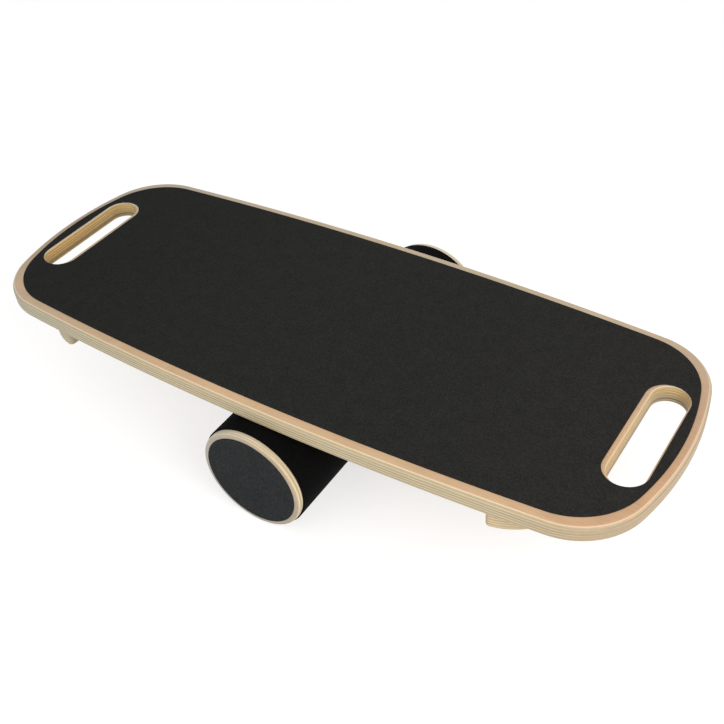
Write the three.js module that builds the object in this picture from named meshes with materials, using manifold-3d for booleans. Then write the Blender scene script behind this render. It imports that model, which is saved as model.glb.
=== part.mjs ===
// Rola bola: a plywood balance board that stands level on a loose roller.
// Lengths are millimetres, +Z is up, X runs along the deck and Y across it.
// The origin is on the floor, below the middle of the deck's length and of the roller's length.
import * as THREE from "three";
import { mergeVertices } from "three/addons/utils/BufferGeometryUtils.js";
import Module from "manifold-3d";

// Deck: one plywood board with barrel sides, crowned ends and rounded edges
const DECK_LENGTH = 740;
const DECK_WIDTH = 289;
const DECK_THICKNESS = 18;
const DECK_SIDE_RADIUS = 3715;
const DECK_END_RADIUS = 321;
const DECK_CORNER_RADIUS = 71.5;
const DECK_EDGE_RADIUS = 4.5;

// Hand slots: one near each end, lying across the deck
const SLOT_LENGTH = 128.5;
const SLOT_WIDTH = 32.5;
const SLOT_TO_DECK_END = 39;

// Grip sheet: the black anti-slip sheet glued on the deck's top
const SHEET_THICKNESS = 0.7;
const SHEET_END_MARGIN = 8.6;
const SHEET_SIDE_MARGIN = 10.4;
const SHEET_SIDE_RADIUS_GAIN = 42;
const SHEET_END_RADIUS_LOSS = 39;
const SHEET_CORNER_RADIUS_LOSS = 2.5;

// Stoppers: D-shaped plywood plates under the deck, with the straight edge towards the roller
const STOPPER_LENGTH = 264;
const STOPPER_WIDTH = 62;
const STOPPER_THICKNESS = 18;
const STOPPER_END_RADIUS = 71;
const STOPPER_CORNER_RADIUS = 5;
const STOPPER_EASED_EDGE = 2;
const STOPPER_TO_DECK_END = 65.9;

// Countersunk wood screws that hold the stoppers
const SCREW_LENGTH = 28;
const SCREW_HEAD_RADIUS = 4;
const SCREW_SHANK_RADIUS = 2;
const SCREW_HEAD_LAND = 0.4;
const SCREW_POINT_LENGTH = 5;
const SCREW_SPACING = 92;
const SCREW_FROM_INNER_EDGE = 26;
const SCREW_HEAD_SINK = 0.4;

// Roller: a stiff tube in an anti-slip sleeve, closed by a plywood disc at each end
const ROLLER_LENGTH = 349;
const TUBE_RADIUS = 56;
const TUBE_WALL = 4;
const SLEEVE_THICKNESS = 1.5;
const DISC_THICKNESS = 6.5;
const DISC_RIM_RADIUS = 2.5;
const PLUG_THICKNESS = 12;
const PLUG_EASED_EDGE = 1;
const FACING_RADIUS = 50.6;
const FACING_THICKNESS = 0.5;

// Where the roller lies under the deck
const ROLLER_PAST_DECK_MIDDLE = 12;
const DECK_TO_FRONT_OF_ROLLER_MIDDLE = 10.7;

// Clearances
const GLUE_LINE = 0.1;
const FREE_GAP = 0.3;
const CUT_OVERRUN = 5;

// Facets: steps of an arc, of a rounded edge and of a full turn
const ARC_STEPS = 14;
const SMALL_ARC_STEPS = 5;
const EDGE_STEPS = 4;
const ROLLER_SIDES = 72;
const SCREW_SIDES = 16;

const SLEEVE_RADIUS = TUBE_RADIUS + SLEEVE_THICKNESS;
const DECK_UNDERSIDE = 2 * SLEEVE_RADIUS + FREE_GAP;
const SLOT_FROM_MIDDLE = DECK_LENGTH / 2 - SLOT_TO_DECK_END;
const STOPPER_FROM_MIDDLE = DECK_LENGTH / 2 - STOPPER_TO_DECK_END - STOPPER_WIDTH;
const TUBE_LENGTH = ROLLER_LENGTH - 2 * (DISC_THICKNESS + GLUE_LINE);
const PLUG_RADIUS = TUBE_RADIUS - TUBE_WALL - FREE_GAP;
const SCREW_HEAD_HEIGHT = SCREW_HEAD_RADIUS - SCREW_SHANK_RADIUS;

const QUARTER_TURN = Math.PI / 2;

const wasm = await Module();
wasm.setup();

function material(color, roughness, metalness = 0) {
  return new THREE.MeshStandardMaterial({ color, roughness, metalness });
}

// Each piece's finish
const finishes = {
  deckPlywood: () => material(0xd9b98c, 0.55),
  stopperPlywood: () => material(0xcfb386, 0.6),
  gripSheet: () => material(0x262626, 0.9),
  gripSleeve: () => material(0x0b0b0b, 0.85),
  discPlywood: () => material(0xdcbc90, 0.55),
  discFacing: () => material(0x23262a, 0.85),
  innerPlywood: () => material(0xc9a877, 0.7),
  tube: () => material(0x8c7a62, 0.8),
  zincSteel: () => material(0xb9b7ae, 0.35, 0.9),
};

function solidFrom(geometry) {
  const bare = geometry.clone();
  bare.deleteAttribute("normal");
  bare.deleteAttribute("uv");
  const merged = mergeVertices(bare);
  const vertProperties = new Float32Array(merged.attributes.position.array);
  const triVerts = new Uint32Array(merged.index.array);
  return new wasm.Manifold(new wasm.Mesh({ numProp: 3, vertProperties, triVerts }));
}

function geometryFrom(solid) {
  const { vertProperties, triVerts, numProp } = solid.getMesh();
  const geometry = new THREE.BufferGeometry();
  geometry.setAttribute("position", new THREE.BufferAttribute(vertProperties, numProp));
  geometry.setIndex(new THREE.BufferAttribute(triVerts, 1));
  geometry.computeVertexNormals();
  return geometry;
}

function namedMesh(name, geometry, finish) {
  const mesh = new THREE.Mesh(geometry, finish());
  mesh.name = name;
  return mesh;
}

// Points of an arc from one angle to another, without its last point, where the next arc starts
function arc(centre, radius, from, to, steps = ARC_STEPS) {
  return Array.from({ length: steps }, (_, step) => {
    const angle = from + ((to - from) * step) / steps;
    return new THREE.Vector2(
      centre.x + radius * Math.cos(angle),
      centre.y + radius * Math.sin(angle),
    );
  });
}

// The centre of a corner arc that is tangent inside both the end arc and the side arc
function cornerCentre(endCentre, sideCentre, endReach, sideReach) {
  const line = sideCentre.clone().sub(endCentre);
  const span = line.length();
  const along = (endReach ** 2 - sideReach ** 2 + span ** 2) / (2 * span);
  const aside = Math.sqrt(endReach ** 2 - along ** 2);
  const unit = line.divideScalar(span);
  return new THREE.Vector2(
    endCentre.x + unit.x * along - unit.y * aside,
    endCentre.y + unit.y * along + unit.x * aside,
  );
}

// Barrel outline: long side arcs and crowned end arcs, blended by corner arcs that are tangent to both
function barrelOutline({ length, width, sideRadius, endRadius, cornerRadius }) {
  const end = new THREE.Vector2(length / 2 - endRadius, 0);
  const side = new THREE.Vector2(0, width / 2 - sideRadius);
  const corner = cornerCentre(end, side, endRadius - cornerRadius, sideRadius - cornerRadius);
  const endAngle = corner.clone().sub(end).angle();
  const sideAngle = corner.clone().sub(side).angle();
  const farEnd = new THREE.Vector2(-end.x, 0);
  const frontSide = new THREE.Vector2(0, -side.y);
  const mirrored = (x, y) => new THREE.Vector2(x * corner.x, y * corner.y);
  const half = Math.PI;
  return [
    ...arc(end, endRadius, -endAngle, endAngle),
    ...arc(mirrored(1, 1), cornerRadius, endAngle, sideAngle),
    ...arc(side, sideRadius, sideAngle, half - sideAngle),
    ...arc(mirrored(-1, 1), cornerRadius, half - sideAngle, half - endAngle),
    ...arc(farEnd, endRadius, half - endAngle, half + endAngle),
    ...arc(mirrored(-1, -1), cornerRadius, half + endAngle, half + sideAngle),
    ...arc(frontSide, sideRadius, half + sideAngle, 2 * half - sideAngle),
    ...arc(mirrored(1, -1), cornerRadius, 2 * half - sideAngle, 2 * half - endAngle),
  ];
}

// A slot with round ends that lies across the deck, grown all round by a margin
function slotOutline(middleX, margin) {
  const radius = SLOT_WIDTH / 2 + margin;
  const reach = (SLOT_LENGTH - SLOT_WIDTH) / 2;
  const back = new THREE.Vector2(middleX, reach);
  const front = new THREE.Vector2(middleX, -reach);
  return [...arc(back, radius, 0, Math.PI), ...arc(front, radius, Math.PI, 2 * Math.PI)];
}

function shapeWithSlots(outline, slotMargin) {
  const shape = new THREE.Shape(outline);
  for (const middleX of [-SLOT_FROM_MIDDLE, SLOT_FROM_MIDDLE]) {
    shape.holes.push(new THREE.Path(slotOutline(middleX, slotMargin)));
  }
  return shape;
}

// A plate from z = 0 up, with both faces' edges rounded, the edges of its holes too
function roundedPlate(shape, thickness, edgeRadius) {
  const geometry = new THREE.ExtrudeGeometry(shape, {
    depth: thickness - 2 * edgeRadius,
    bevelThickness: edgeRadius,
    bevelSize: edgeRadius,
    bevelOffset: -edgeRadius,
    bevelSegments: EDGE_STEPS,
  });
  return geometry.translate(0, 0, edgeRadius);
}

function flatPlate(shape, thickness) {
  return new THREE.ExtrudeGeometry(shape, { depth: thickness, bevelEnabled: false });
}

// A turned solid about Z, from points of radius and height
function turnedAboutZ(profile, sides) {
  return new THREE.LatheGeometry(profile, sides).rotateX(QUARTER_TURN);
}

function point(radius, height) {
  return new THREE.Vector2(radius, height);
}

function screwPlaces() {
  return [-SCREW_SPACING, 0, SCREW_SPACING].map(
    (y) => new THREE.Vector3(SCREW_FROM_INNER_EDGE, y, -STOPPER_THICKNESS + SCREW_HEAD_SINK),
  );
}

// A countersunk screw that points up, with the middle of its head's face at z = 0.
// With a clearance it is the hole that the screw goes into, open below the head.
function screwGeometry(clearance = 0) {
  const head = SCREW_HEAD_RADIUS + clearance;
  const shank = SCREW_SHANK_RADIUS + clearance;
  const land = SCREW_HEAD_LAND;
  const neck = land + SCREW_HEAD_HEIGHT;
  const tip = SCREW_LENGTH + clearance;
  const foot = clearance > 0 ? -CUT_OVERRUN : 0;
  const profile = [
    point(0, foot),
    point(head, foot),
    point(head, land),
    point(shank, neck),
    point(shank, tip - SCREW_POINT_LENGTH),
    point(0, tip),
  ];
  return turnedAboutZ(profile, SCREW_SIDES);
}

// The pilot holes that the stoppers' screws bore into the deck, in the deck's frame
function pilotHoles() {
  const holes = [];
  for (const turn of [0, Math.PI]) {
    for (const place of screwPlaces()) {
      const hole = screwGeometry(FREE_GAP).translate(place.x + STOPPER_FROM_MIDDLE, place.y, place.z);
      holes.push(solidFrom(hole.translate(0, 0, -GLUE_LINE).rotateZ(turn)));
    }
  }
  return holes;
}

function makeDeck() {
  const outline = barrelOutline({
    length: DECK_LENGTH,
    width: DECK_WIDTH,
    sideRadius: DECK_SIDE_RADIUS,
    endRadius: DECK_END_RADIUS,
    cornerRadius: DECK_CORNER_RADIUS,
  });
  const board = roundedPlate(shapeWithSlots(outline, 0), DECK_THICKNESS, DECK_EDGE_RADIUS);
  const drilled = pilotHoles().reduce((solid, hole) => solid.subtract(hole), solidFrom(board));
  return namedMesh("deck", geometryFrom(drilled), finishes.deckPlywood);
}

// The sheet stops short of the deck's edge, and its cut-outs begin where the slots' edges start to round
function makeGripSheet() {
  const outline = barrelOutline({
    length: DECK_LENGTH - 2 * SHEET_END_MARGIN,
    width: DECK_WIDTH - 2 * SHEET_SIDE_MARGIN,
    sideRadius: DECK_SIDE_RADIUS + SHEET_SIDE_RADIUS_GAIN,
    endRadius: DECK_END_RADIUS - SHEET_END_RADIUS_LOSS,
    cornerRadius: DECK_CORNER_RADIUS - SHEET_CORNER_RADIUS_LOSS,
  });
  const shape = shapeWithSlots(outline, DECK_EDGE_RADIUS);
  const mesh = namedMesh("grip_sheet", flatPlate(shape, SHEET_THICKNESS), finishes.gripSheet);
  mesh.position.z = DECK_THICKNESS + GLUE_LINE;
  return mesh;
}

// D-shaped plan: a straight inner edge on x = 0 between two rounded corners, and two large arcs
// that lead from the corners into the outer edge
function stopperOutline() {
  const corner = point(STOPPER_CORNER_RADIUS, STOPPER_LENGTH / 2 - STOPPER_CORNER_RADIUS);
  const reach = STOPPER_END_RADIUS - STOPPER_CORNER_RADIUS;
  const centreX = STOPPER_WIDTH - STOPPER_END_RADIUS;
  const centreY = corner.y - Math.sqrt(reach ** 2 - (corner.x - centreX) ** 2);
  const meeting = Math.atan2(corner.y - centreY, corner.x - centreX);
  return [
    ...arc(point(centreX, -centreY), STOPPER_END_RADIUS, -meeting, 0),
    point(STOPPER_WIDTH, -centreY),
    ...arc(point(centreX, centreY), STOPPER_END_RADIUS, 0, meeting),
    ...arc(corner, STOPPER_CORNER_RADIUS, meeting, Math.PI, SMALL_ARC_STEPS),
    point(0, corner.y),
    ...arc(point(corner.x, -corner.y), STOPPER_CORNER_RADIUS, -Math.PI, -meeting, SMALL_ARC_STEPS),
  ];
}

// The plate hangs from z = 0, its upper edge is sharp against the deck and its lower edge is eased
function stopperGeometry() {
  const blank = roundedPlate(
    new THREE.Shape(stopperOutline()),
    STOPPER_THICKNESS + STOPPER_EASED_EDGE,
    STOPPER_EASED_EDGE,
  ).translate(0, 0, -STOPPER_THICKNESS);
  const planedOff = new THREE.BoxGeometry(
    2 * (STOPPER_WIDTH + CUT_OVERRUN),
    STOPPER_LENGTH + 2 * CUT_OVERRUN,
    2 * CUT_OVERRUN,
  ).translate(0, 0, CUT_OVERRUN);
  const plate = solidFrom(blank).subtract(solidFrom(planedOff));
  const drilled = screwPlaces().reduce(
    (solid, place) => solid.subtract(
      solidFrom(screwGeometry(FREE_GAP).translate(place.x, place.y, place.z)),
    ),
    plate,
  );
  return geometryFrom(drilled);
}

// One stopper with its screws, under the deck's right end or turned round under its left end
function makeStopper(side, turn) {
  const mount = new THREE.Group();
  mount.rotation.z = turn;
  mount.position.set(Math.cos(turn) * STOPPER_FROM_MIDDLE, 0, -GLUE_LINE);
  mount.add(namedMesh(`${side}_stopper`, stopperGeometry(), finishes.stopperPlywood));
  const labels = turn ? ["back", "middle", "front"] : ["front", "middle", "back"];
  screwPlaces().forEach((place, index) => {
    const name = `${side}_stopper_screw_${labels[index]}`;
    const screw = namedMesh(name, screwGeometry(), finishes.zincSteel);
    screw.position.copy(place);
    mount.add(screw);
  });
  return mount;
}

function makeBoard() {
  const board = new THREE.Group();
  board.position.set(0, -DECK_TO_FRONT_OF_ROLLER_MIDDLE, DECK_UNDERSIDE);
  board.add(makeDeck(), makeGripSheet());
  board.add(makeStopper("right", 0), makeStopper("left", Math.PI));
  return board;
}

// A tube along Y between two radii, centred on the origin
function tubeGeometry(innerRadius, outerRadius, length) {
  const profile = [
    point(innerRadius, -length / 2),
    point(outerRadius, -length / 2),
    point(outerRadius, length / 2),
    point(innerRadius, length / 2),
    point(innerRadius, -length / 2),
  ];
  return new THREE.LatheGeometry(profile, ROLLER_SIDES);
}

// A disc along Y that starts at y = 0, with the rim of its far face rounded
function discGeometry(radius, thickness, rimRadius) {
  const rimCentre = point(radius - rimRadius, thickness - rimRadius);
  const profile = [
    point(0, 0),
    point(radius, 0),
    ...arc(rimCentre, rimRadius, 0, QUARTER_TURN, EDGE_STEPS),
    point(radius - rimRadius, thickness),
    point(0, thickness),
  ];
  return new THREE.LatheGeometry(profile, ROLLER_SIDES);
}

// One end of the roller: plug disc in the tube, end disc on the tube's rim, black facing on the end disc
function makeRollerEnd(side, turn) {
  const end = new THREE.Group();
  end.rotation.z = turn;
  const tubeEnd = TUBE_LENGTH / 2;
  const plugGeometry = discGeometry(PLUG_RADIUS, PLUG_THICKNESS, PLUG_EASED_EDGE).rotateX(Math.PI);
  const plug = namedMesh(`${side}_plug_disc`, plugGeometry, finishes.innerPlywood);
  plug.position.y = tubeEnd;
  const discShape = discGeometry(TUBE_RADIUS, DISC_THICKNESS, DISC_RIM_RADIUS);
  const disc = namedMesh(`${side}_end_disc`, discShape, finishes.discPlywood);
  disc.position.y = tubeEnd + GLUE_LINE;
  const facingShape = discGeometry(FACING_RADIUS, FACING_THICKNESS, FACING_THICKNESS / 2);
  const facing = namedMesh(`${side}_end_facing`, facingShape, finishes.discFacing);
  facing.position.y = disc.position.y + DISC_THICKNESS + GLUE_LINE;
  end.add(plug, disc, facing);
  return end;
}

function makeRoller() {
  const roller = new THREE.Group();
  roller.position.set(ROLLER_PAST_DECK_MIDDLE, 0, SLEEVE_RADIUS);
  const tube = tubeGeometry(TUBE_RADIUS - TUBE_WALL, TUBE_RADIUS, TUBE_LENGTH);
  const sleeve = tubeGeometry(TUBE_RADIUS + GLUE_LINE, SLEEVE_RADIUS, TUBE_LENGTH);
  roller.add(namedMesh("roller_tube", tube, finishes.tube));
  roller.add(namedMesh("roller_sleeve", sleeve, finishes.gripSleeve));
  roller.add(makeRollerEnd("back", 0), makeRollerEnd("front", Math.PI));
  return roller;
}

const rolaBola = new THREE.Group();
rolaBola.add(makeBoard(), makeRoller());

export default rolaBola;
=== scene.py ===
"""Rola bola: a plywood balance board that stands level on a loose covered roller.

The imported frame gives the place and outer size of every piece. The pieces made here are finer
surfaces of the same forms: the board with its rounded barrel outline and hand slots, the anti-slip
sheet, the stoppers with their countersunk screws, and the covered roller with its plywood ends.
"""

import logging
import math
from dataclasses import dataclass
from enum import Enum
from functools import cache
from typing import Any, Sequence

import bmesh
import bpy
import numpy as np
from mathutils import Matrix, Vector


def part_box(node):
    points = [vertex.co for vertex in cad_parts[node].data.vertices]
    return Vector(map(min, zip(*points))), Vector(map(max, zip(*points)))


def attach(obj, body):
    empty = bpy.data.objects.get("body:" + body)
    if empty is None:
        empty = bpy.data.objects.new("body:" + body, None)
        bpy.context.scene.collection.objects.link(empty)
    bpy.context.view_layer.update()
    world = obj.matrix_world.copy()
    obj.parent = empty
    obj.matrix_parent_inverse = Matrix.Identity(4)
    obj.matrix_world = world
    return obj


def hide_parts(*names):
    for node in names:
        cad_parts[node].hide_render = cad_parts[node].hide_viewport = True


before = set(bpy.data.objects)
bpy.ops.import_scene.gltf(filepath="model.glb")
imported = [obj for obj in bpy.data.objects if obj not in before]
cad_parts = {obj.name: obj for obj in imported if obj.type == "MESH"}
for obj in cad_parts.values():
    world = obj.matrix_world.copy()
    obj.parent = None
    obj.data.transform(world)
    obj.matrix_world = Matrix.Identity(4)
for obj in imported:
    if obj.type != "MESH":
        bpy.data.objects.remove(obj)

MM = 0.001
QUARTER_TURN = math.pi / 2
HALF_TURN = math.pi
FULL_TURN = 2 * math.pi

# Points nearer than this are one point, and a narrow strip of this width borders each flat face
WELD_STEP = 1e-6
FACE_BORDER = 0.4 * MM
SHARP_ANGLE = math.radians(40)

Span = tuple[float, float]
Colour = tuple[float, float, float]
WHITE: Colour = (1.0, 1.0, 1.0)

log = logging.getLogger("rola_bola")


class Axis(Enum):
    """A direction of the row frame."""

    X = 0
    Y = 1
    Z = 2


@dataclass(frozen=True)
class Surface:
    """A mesh as arrays: points of shape (n, 3) in metres and triangles of shape (m, 3)."""

    points: np.ndarray
    triangles: np.ndarray

    def moved(self, x: float, y: float, z: float) -> "Surface":
        """The surface carried along a vector."""
        return Surface(self.points + np.array([x, y, z]), self.triangles)

    def spun(self, angle: float) -> "Surface":
        """The surface turned about Z through the origin.

        Args:
            angle: The angle of the turn, in radians.

        Returns:
            The turned surface.
        """
        cos, sin = math.cos(angle), math.sin(angle)
        turn = np.array([[cos, sin, 0.0], [-sin, cos, 0.0], [0.0, 0.0, 1.0]])
        return Surface(self.points @ turn, self.triangles)


def grid_surface(rows: np.ndarray, wraps: bool = True) -> Surface:
    """Joins a grid of points into triangles, two for each cell.

    Args:
        rows: Points of shape (rows, columns, 3).
        wraps: Whether the last column is joined to the first.

    Returns:
        The surface, with its cells still unwelded to any neighbour.
    """
    count, width = rows.shape[:2]
    row = np.arange(count - 1)[:, None] * width
    column = np.arange(width if wraps else width - 1)[None, :]
    following = (column + 1) % width
    a, b = row + column, row + following
    c, d = b + width, a + width
    lower = np.stack([a, b, c], axis=-1).reshape(-1, 3)
    upper = np.stack([a, c, d], axis=-1).reshape(-1, 3)
    return Surface(rows.reshape(-1, 3), np.concatenate([lower, upper]))


def welded(surfaces: Sequence[Surface]) -> Surface:
    """Makes one closed body of several surfaces.

    Points that round to the same step are merged, and triangles that lose a corner are dropped.

    Args:
        surfaces: The surfaces, whose borders lie on each other.

    Returns:
        The joined surface.
    """
    points = np.concatenate([surface.points for surface in surfaces])
    starts = np.cumsum([0] + [len(surface.points) for surface in surfaces[:-1]])
    triangles = np.concatenate([s.triangles + start for s, start in zip(surfaces, starts)])
    keys = np.round(points / WELD_STEP).astype(np.int64)
    _, first, place = np.unique(keys, axis=0, return_index=True, return_inverse=True)
    triangles = place.reshape(-1)[triangles]
    a, b, c = triangles.T
    return Surface(points[first], triangles[(a != b) & (b != c) & (c != a)])


def arc(centre: Sequence[float], radius: float, start: float, stop: float, steps: int) -> np.ndarray:
    """Points of an arc, its last one left out: the centre plus the radius along evenly spaced angles."""
    angles = np.linspace(start, stop, steps, endpoint=False)
    return np.array(centre) + radius * np.column_stack([np.cos(angles), np.sin(angles)])


def line(start: Sequence[float], stop: Sequence[float], steps: int) -> np.ndarray:
    """Evenly spaced points of a straight line, its last one left out."""
    return np.linspace(start, stop, steps, endpoint=False)


def retreated(loop: np.ndarray, distance: float) -> np.ndarray:
    """Moves every edge of a closed anticlockwise loop inwards by the same distance.

    Each point goes along the sum of its two edges' inward normals, times twice the distance over
    the square of that sum's length, so that both edges move by the distance.

    Args:
        loop: Points of shape (n, 2).
        distance: How far the edges move, in metres.

    Returns:
        The new points, in the same order.
    """
    ahead = np.roll(loop, -1, axis=0) - loop
    ahead /= np.linalg.norm(ahead, axis=1, keepdims=True)
    inward = np.column_stack([-ahead[:, 1], ahead[:, 0]])
    both = inward + np.roll(inward, 1, axis=0)
    return loop + 2 * distance * both / (both**2).sum(axis=1, keepdims=True)


def raised(loop: np.ndarray, height: float) -> np.ndarray:
    """A plane loop as points in space at a height."""
    return np.column_stack([loop, np.full(len(loop), height)])


def edge_profile(thickness: float, upper: float, lower: float, steps: int) -> np.ndarray:
    """The section of a plate's edge, from its upper face at height zero down to its lower face.

    A rounded edge is a quarter circle: it retreats by the radius less the radius times a sine,
    while its height falls by the radius less the radius times a cosine.

    Args:
        thickness: The plate's thickness.
        upper: Radius of the upper edge, or zero for a sharp one.
        lower: Radius of the lower edge, or zero for a sharp one.
        steps: Steps along each quarter circle.

    Returns:
        Rows of retreat and height.
    """
    angles = np.linspace(0, QUARTER_TURN, steps + 1)
    top = np.column_stack([upper * (1 - np.sin(angles)), -upper * (1 - np.cos(angles))])
    bottom = np.column_stack([lower * (1 - np.cos(angles)), -lower * np.sin(angles)])
    bottom[:, 1] -= thickness - lower
    return np.concatenate([top if upper else top[:1], bottom if lower else bottom[:1]])


@dataclass(frozen=True)
class Barrel:
    """A closed outline of four large arcs, two long and two crowned ends, blended by corner arcs."""

    length: float
    width: float
    side_radius: float
    end_radius: float
    corner_radius: float
    side_steps: int = 90
    corner_steps: int = 44
    end_steps: int = 60

    def loop(self) -> np.ndarray:
        """The outline, anticlockwise from the middle of the front side.

        A corner's centre is where two circles meet: one round each large arc's centre, with that
        arc's radius less the corner's. The left half is the right half turned by half a turn.

        Returns:
            Points of shape (n, 2), half of them from front to back and half from back to front.
        """
        end_x = self.length / 2 - self.end_radius
        side_y = self.width / 2 - self.side_radius
        end_reach = self.end_radius - self.corner_radius
        side_reach = self.side_radius - self.corner_radius
        span = math.hypot(end_x, side_y)
        along = (end_reach**2 - side_reach**2 + span**2) / (2 * span)
        aside = math.sqrt(end_reach**2 - along**2)
        unit_x, unit_y = -end_x / span, side_y / span
        x = end_x + unit_x * along - unit_y * aside
        y = unit_y * along + unit_x * aside
        end_angle = math.atan2(y, x - end_x)
        side_angle = math.atan2(y - side_y, x)
        right = np.concatenate([
            arc((0, -side_y), self.side_radius, -QUARTER_TURN, -side_angle, self.side_steps),
            arc((x, -y), self.corner_radius, -side_angle, -end_angle, self.corner_steps),
            arc((end_x, 0), self.end_radius, -end_angle, end_angle, self.end_steps),
            arc((x, y), self.corner_radius, end_angle, side_angle, self.corner_steps),
            arc((0, side_y), self.side_radius, side_angle, QUARTER_TURN, self.side_steps),
        ])
        return np.concatenate([right, -right])


@dataclass(frozen=True)
class Hole:
    """A hole with straight sides along Y and round ends, or a round one where its reach is zero."""

    middle: tuple[float, float]
    radius: float
    reach: float = 0.0

    def loop(self, directions: np.ndarray, growth: float) -> np.ndarray:
        """The hole's edge in given directions from its middle, grown all round.

        A ray leaves through a straight side where the radius over its X share keeps it within the
        reach, and otherwise through a round end, whose circle gives a quadratic. The point then
        moves away from the nearest point of the hole's spine.

        Args:
            directions: Angles of the rays, in radians.
            growth: How far the edge moves outwards, in metres.

        Returns:
            Points of shape (n, 2).
        """
        x, y = np.cos(directions), np.sin(directions)
        side = self.radius / np.maximum(np.abs(x), WELD_STEP)
        inside = np.maximum(self.radius**2 - (self.reach * x) ** 2, 0)
        end = self.reach * np.abs(y) + np.sqrt(inside)
        out = np.where(side * np.abs(y) <= self.reach, side, end)
        rim = out[:, None] * np.column_stack([x, y])
        spine = np.column_stack([np.zeros_like(x), np.clip(rim[:, 1], -self.reach, self.reach)])
        return np.array(self.middle) + spine + (rim - spine) * (1 + growth / self.radius)


@dataclass(frozen=True)
class Cell:
    """The stretch of a plate round one hole: spans of the outline, joined by straight cuts."""

    hole: Hole
    spans: tuple[tuple[int, int], ...]
    cut_steps: int = 40

    def border(self, outline: np.ndarray) -> np.ndarray:
        """The cell's closed border: each span of the outline, then a straight cut to the next span.

        Args:
            outline: The plate's outline, or one retreated from it.

        Returns:
            Points of shape (n, 2).
        """
        count = len(outline)
        parts = []
        for number, (start, stop) in enumerate(self.spans):
            following = self.spans[(number + 1) % len(self.spans)][0]
            parts.append(outline[np.arange(start, stop) % count])
            parts.append(line(outline[stop % count], outline[following % count], self.cut_steps))
        return np.concatenate(parts)

    def directions(self, outline: np.ndarray) -> np.ndarray:
        """The angles at which the hole's middle sees the points of the cell's border."""
        x, y = (self.border(outline) - np.array(self.hole.middle)).T
        return np.arctan2(y, x)


@dataclass(frozen=True)
class Plate:
    """A flat plate with holes: an edge section carried round its outline, another round each hole."""

    outline: np.ndarray
    cells: tuple[Cell, ...]
    edge: np.ndarray
    bore: np.ndarray
    face_rings: int = 4

    def surface(self) -> Surface:
        """The plate's closed surface: its edge, and for each cell a bore and two flat faces.

        Returns:
            The surface, with its upper face at height zero.
        """
        rows = [raised(retreated(self.outline, retreat), height) for retreat, height in self.edge]
        parts = [grid_surface(np.stack(rows))]
        for cell in self.cells:
            directions = cell.directions(self.outline)
            rows = [raised(cell.hole.loop(directions, grown), height) for grown, height in self.bore]
            parts.append(grid_surface(np.stack(rows)))
            parts.append(self.face(cell, directions, 0))
            parts.append(self.face(cell, directions, -1))
        return welded(parts)

    def face(self, cell: Cell, directions: np.ndarray, end: int) -> Surface:
        """One cell of a flat face, as rings that blend from the cell's border to the hole's edge.

        Args:
            cell: The cell.
            directions: Where the hole's edge has its points.
            end: 0 for the upper face and -1 for the lower one.

        Returns:
            The face's surface.
        """
        retreat, height = self.edge[end]
        grown = self.bore[end][0]
        border = cell.border(retreated(self.outline, retreat))
        outer = retreated(border, FACE_BORDER)
        inner = cell.hole.loop(directions, grown + FACE_BORDER)
        shares = np.linspace(0, 1, self.face_rings)[:, None, None]
        rings = [border[None], outer + (inner - outer) * shares, cell.hole.loop(directions, grown)[None]]
        flat = np.concatenate(rings)
        heights = np.full(flat.shape[:2] + (1,), height)
        return grid_surface(np.concatenate([flat, heights], axis=2))


def turned(profile: Sequence[tuple[float, float]], steps: int) -> Surface:
    """Turns a profile about the Y axis: X is the radius times a cosine and Z the radius times a sine.

    Args:
        profile: Pairs of radius and place along Y, from pole to pole or back to its first point.
        steps: Steps of a full turn.

    Returns:
        The closed surface.
    """
    radius, along = np.array(profile).T[:, :, None]
    angles = np.linspace(0, FULL_TURN, steps, endpoint=False)[None, :]
    flat = np.broadcast_to(along, (len(profile), steps))
    return welded([grid_surface(np.stack([radius * np.cos(angles), flat, radius * np.sin(angles)], axis=2))])


def mesh_piece(name: str, surface: Surface) -> bpy.types.Object:
    """Puts a surface into a Blender object with outward faces and smooth shading.

    Args:
        name: The piece's name.
        surface: Its closed surface, in the row frame.

    Returns:
        The object, which sits at the origin.
    """
    mesh = bpy.data.meshes.new(name)
    mesh.from_pydata(surface.points, [], surface.triangles)
    shell = bmesh.new()
    shell.from_mesh(mesh)
    bmesh.ops.recalc_face_normals(shell, faces=shell.faces)
    shell.to_mesh(mesh)
    shell.free()
    mesh.polygons.foreach_set("use_smooth", np.ones(len(mesh.polygons), dtype=bool))
    mesh.set_sharp_from_angle(angle=SHARP_ANGLE)
    piece = bpy.data.objects.new(name, mesh)
    bpy.context.scene.collection.objects.link(piece)
    return piece


@dataclass(frozen=True)
class Output:
    """A node's output, whose sums and products add Math nodes to its tree."""

    nodes: "Nodes"
    socket: bpy.types.NodeSocket

    def __add__(self, other: Any) -> "Output":
        """The sum."""
        return self.nodes.math("ADD", self, other)

    def __sub__(self, other: Any) -> "Output":
        """The difference."""
        return self.nodes.math("SUBTRACT", self, other)

    def __rsub__(self, other: float) -> "Output":
        """The difference from a plain number."""
        return self.nodes.math("SUBTRACT", other, self)

    def __mul__(self, other: Any) -> "Output":
        """The product."""
        return self.nodes.math("MULTIPLY", self, other)

    def __truediv__(self, other: Any) -> "Output":
        """The quotient."""
        return self.nodes.math("DIVIDE", self, other)

    def __abs__(self) -> "Output":
        """The distance from zero."""
        return self.nodes.math("ABSOLUTE", self)


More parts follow.
